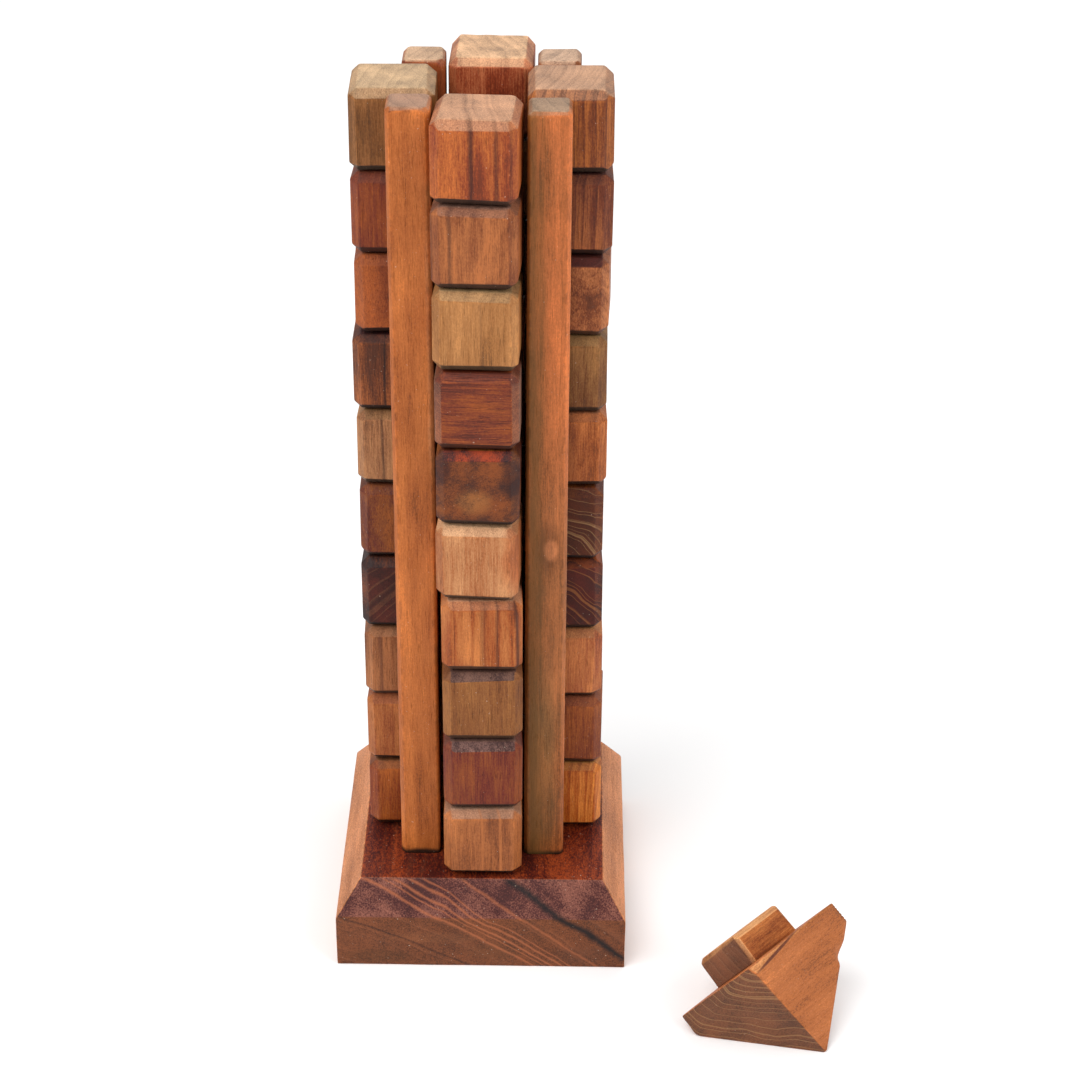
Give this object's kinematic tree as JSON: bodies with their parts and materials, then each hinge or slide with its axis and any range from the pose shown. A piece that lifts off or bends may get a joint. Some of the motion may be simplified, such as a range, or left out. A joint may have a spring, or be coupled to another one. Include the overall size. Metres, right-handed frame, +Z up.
{
  "type": "tabletop tumbling tower",
  "caption": "Desktop wooden tumbling tower: bevelled cubes stacked in columns between square corner posts on a chamfered base, with a loose pyramid cap.",
  "frame": {"origin": "middle of the base's underside, which rests on the table", "axes": "+Z up the tower, -Y towards the front column, +X to the right"},
  "size_m": [0.1296, 0.1102, 0.2277],
  "materials": {
    "base_wood": "hand-sanded, thin matt oil",
    "core_wood": "hand-sanded, thin matt oil",
    "post_wood": "hand-sanded, thin matt oil",
    "cap_wood": "hand-sanded, thin matt oil",
    "dowel_wood": "bare turned wood",
    "block_tan": "hand-sanded, thin matt oil",
    "block_honey": "hand-sanded, thin matt oil",
    "block_orange": "hand-sanded, thin matt oil",
    "block_red": "hand-sanded, thin matt oil",
    "block_brown": "hand-sanded, thin matt oil",
    "block_dark": "hand-sanded, thin matt oil",
    "block_olive": "hand-sanded, thin matt oil"
  },
  "bodies": {
    "tower": {"base": "base_wood", "core": "core_wood", "post_front_left": "post_wood", "post_front_right": "post_wood", "post_back_left": "post_wood", "post_back_right": "post_wood", "dowel_core": "dowel_wood", "dowel_post_front_left": "dowel_wood", "dowel_post_front_right": "dowel_wood", "dowel_post_back_left": "dowel_wood", "dowel_post_back_right": "dowel_wood"},
    "block_front_01": {"block_front_01": "block_tan"},
    "block_front_02": {"block_front_02": "block_red"},
    "block_front_03": {"block_front_03": "block_olive"},
    "block_front_04": {"block_front_04": "block_orange"},
    "block_front_05": {"block_front_05": "block_tan"},
    "block_front_06": {"block_front_06": "block_dark"},
    "block_front_07": {"block_front_07": "block_red"},
    "block_front_08": {"block_front_08": "block_tan"},
    "block_front_09": {"block_front_09": "block_orange"},
    "block_front_10": {"block_front_10": "block_orange"},
    "block_right_01": {"block_right_01": "block_honey"},
    "block_right_02": {"block_right_02": "block_red"},
    "block_right_03": {"block_right_03": "block_orange"},
    "block_right_04": {"block_right_04": "block_dark"},
    "block_right_05": {"block_right_05": "block_brown"},
    "block_right_06": {"block_right_06": "block_orange"},
    "block_right_07": {"block_right_07": "block_olive"},
    "block_right_08": {"block_right_08": "block_red"},
    "block_right_09": {"block_right_09": "block_red"},
    "block_right_10": {"block_right_10": "block_orange"},
    "block_back_01": {"block_back_01": "block_brown"},
    "block_back_02": {"block_back_02": "block_orange"},
    "block_back_03": {"block_back_03": "block_red"},
    "block_back_04": {"block_back_04": "block_tan"},
    "block_back_05": {"block_back_05": "block_brown"},
    "block_back_06": {"block_back_06": "block_red"},
    "block_back_07": {"block_back_07": "block_orange"},
    "block_back_08": {"block_back_08": "block_brown"},
    "block_back_09": {"block_back_09": "block_tan"},
    "block_back_10": {"block_back_10": "block_red"},
    "block_left_01": {"block_left_01": "block_brown"},
    "block_left_02": {"block_left_02": "block_red"},
    "block_left_03": {"block_left_03": "block_brown"},
    "block_left_04": {"block_left_04": "block_dark"},
    "block_left_05": {"block_left_05": "block_brown"},
    "block_left_06": {"block_left_06": "block_olive"},
    "block_left_07": {"block_left_07": "block_red"},
    "block_left_08": {"block_left_08": "block_orange"},
    "block_left_09": {"block_left_09": "block_red"},
    "block_left_10": {"block_left_10": "block_olive"},
    "cap": {"cap_pyramid": "cap_wood", "cap_spigot": "cap_wood"}
  },
  "joints": [
    {"name": "cap_lift", "type": "slide", "parent": "tower", "child": "cap", "axis": [0, 0, 1], "range_m": [0, 0.06]},
    {"name": "pull_front_01", "type": "slide", "parent": "tower", "child": "block_front_01", "axis": [0, -1, 0], "range_m": [0, 0.03]},
    {"name": "pull_front_02", "type": "slide", "parent": "tower", "child": "block_front_02", "axis": [0, -1, 0], "range_m": [0, 0.03]},
    {"name": "pull_front_03", "type": "slide", "parent": "tower", "child": "block_front_03", "axis": [0, -1, 0], "range_m": [0, 0.03]},
    {"name": "pull_front_04", "type": "slide", "parent": "tower", "child": "block_front_04", "axis": [0, -1, 0], "range_m": [0, 0.03]},
    {"name": "pull_front_05", "type": "slide", "parent": "tower", "child": "block_front_05", "axis": [0, -1, 0], "range_m": [0, 0.03]},
    {"name": "pull_front_06", "type": "slide", "parent": "tower", "child": "block_front_06", "axis": [0, -1, 0], "range_m": [0, 0.03]},
    {"name": "pull_front_07", "type": "slide", "parent": "tower", "child": "block_front_07", "axis": [0, -1, 0], "range_m": [0, 0.03]},
    {"name": "pull_front_08", "type": "slide", "parent": "tower", "child": "block_front_08", "axis": [0, -1, 0], "range_m": [0, 0.03]},
    {"name": "pull_front_09", "type": "slide", "parent": "tower", "child": "block_front_09", "axis": [0, -1, 0], "range_m": [0, 0.03]},
    {"name": "pull_front_10", "type": "slide", "parent": "tower", "child": "block_front_10", "axis": [0, -1, 0], "range_m": [0, 0.03]},
    {"name": "pull_right_01", "type": "slide", "parent": "tower", "child": "block_right_01", "axis": [1, 0, 0], "range_m": [0, 0.03]},
    {"name": "pull_right_02", "type": "slide", "parent": "tower", "child": "block_right_02", "axis": [1, 0, 0], "range_m": [0, 0.03]},
    {"name": "pull_right_03", "type": "slide", "parent": "tower", "child": "block_right_03", "axis": [1, 0, 0], "range_m": [0, 0.03]},
    {"name": "pull_right_04", "type": "slide", "parent": "tower", "child": "block_right_04", "axis": [1, 0, 0], "range_m": [0, 0.03]},
    {"name": "pull_right_05", "type": "slide", "parent": "tower", "child": "block_right_05", "axis": [1, 0, 0], "range_m": [0, 0.03]},
    {"name": "pull_right_06", "type": "slide", "parent": "tower", "child": "block_right_06", "axis": [1, 0, 0], "range_m": [0, 0.03]},
    {"name": "pull_right_07", "type": "slide", "parent": "tower", "child": "block_right_07", "axis": [1, 0, 0], "range_m": [0, 0.03]},
    {"name": "pull_right_08", "type": "slide", "parent": "tower", "child": "block_right_08", "axis": [1, 0, 0], "range_m": [0, 0.03]},
    {"name": "pull_right_09", "type": "slide", "parent": "tower", "child": "block_right_09", "axis": [1, 0, 0], "range_m": [0, 0.03]},
    {"name": "pull_right_10", "type": "slide", "parent": "tower", "child": "block_right_10", "axis": [1, 0, 0], "range_m": [0, 0.03]},
    {"name": "pull_back_01", "type": "slide", "parent": "tower", "child": "block_back_01", "axis": [0, 1, 0], "range_m": [0, 0.03]},
    {"name": "pull_back_02", "type": "slide", "parent": "tower", "child": "block_back_02", "axis": [0, 1, 0], "range_m": [0, 0.03]},
    {"name": "pull_back_03", "type": "slide", "parent": "tower", "child": "block_back_03", "axis": [0, 1, 0], "range_m": [0, 0.03]},
    {"name": "pull_back_04", "type": "slide", "parent": "tower", "child": "block_back_04", "axis": [0, 1, 0], "range_m": [0, 0.03]},
    {"name": "pull_back_05", "type": "slide", "parent": "tower", "child": "block_back_05", "axis": [0, 1, 0], "range_m": [0, 0.03]},
    {"name": "pull_back_06", "type": "slide", "parent": "tower", "child": "block_back_06", "axis": [0, 1, 0], "range_m": [0, 0.03]},
    {"name": "pull_back_07", "type": "slide", "parent": "tower", "child": "block_back_07", "axis": [0, 1, 0], "range_m": [0, 0.03]},
    {"name": "pull_back_08", "type": "slide", "parent": "tower", "child": "block_back_08", "axis": [0, 1, 0], "range_m": [0, 0.03]},
    {"name": "pull_back_09", "type": "slide", "parent": "tower", "child": "block_back_09", "axis": [0, 1, 0], "range_m": [0, 0.03]},
    {"name": "pull_back_10", "type": "slide", "parent": "tower", "child": "block_back_10", "axis": [0, 1, 0], "range_m": [0, 0.03]},
    {"name": "pull_left_01", "type": "slide", "parent": "tower", "child": "block_left_01", "axis": [-1, 0, 0], "range_m": [0, 0.03]},
    {"name": "pull_left_02", "type": "slide", "parent": "tower", "child": "block_left_02", "axis": [-1, 0, 0], "range_m": [0, 0.03]},
    {"name": "pull_left_03", "type": "slide", "parent": "tower", "child": "block_left_03", "axis": [-1, 0, 0], "range_m": [0, 0.03]},
    {"name": "pull_left_04", "type": "slide", "parent": "tower", "child": "block_left_04", "axis": [-1, 0, 0], "range_m": [0, 0.03]},
    {"name": "pull_left_05", "type": "slide", "parent": "tower", "child": "block_left_05", "axis": [-1, 0, 0], "range_m": [0, 0.03]},
    {"name": "pull_left_06", "type": "slide", "parent": "tower", "child": "block_left_06", "axis": [-1, 0, 0], "range_m": [0, 0.03]},
    {"name": "pull_left_07", "type": "slide", "parent": "tower", "child": "block_left_07", "axis": [-1, 0, 0], "range_m": [0, 0.03]},
    {"name": "pull_left_08", "type": "slide", "parent": "tower", "child": "block_left_08", "axis": [-1, 0, 0], "range_m": [0, 0.03]},
    {"name": "pull_left_09", "type": "slide", "parent": "tower", "child": "block_left_09", "axis": [-1, 0, 0], "range_m": [0, 0.03]},
    {"name": "pull_left_10", "type": "slide", "parent": "tower", "child": "block_left_10", "axis": [-1, 0, 0], "range_m": [0, 0.03]}
  ]
}
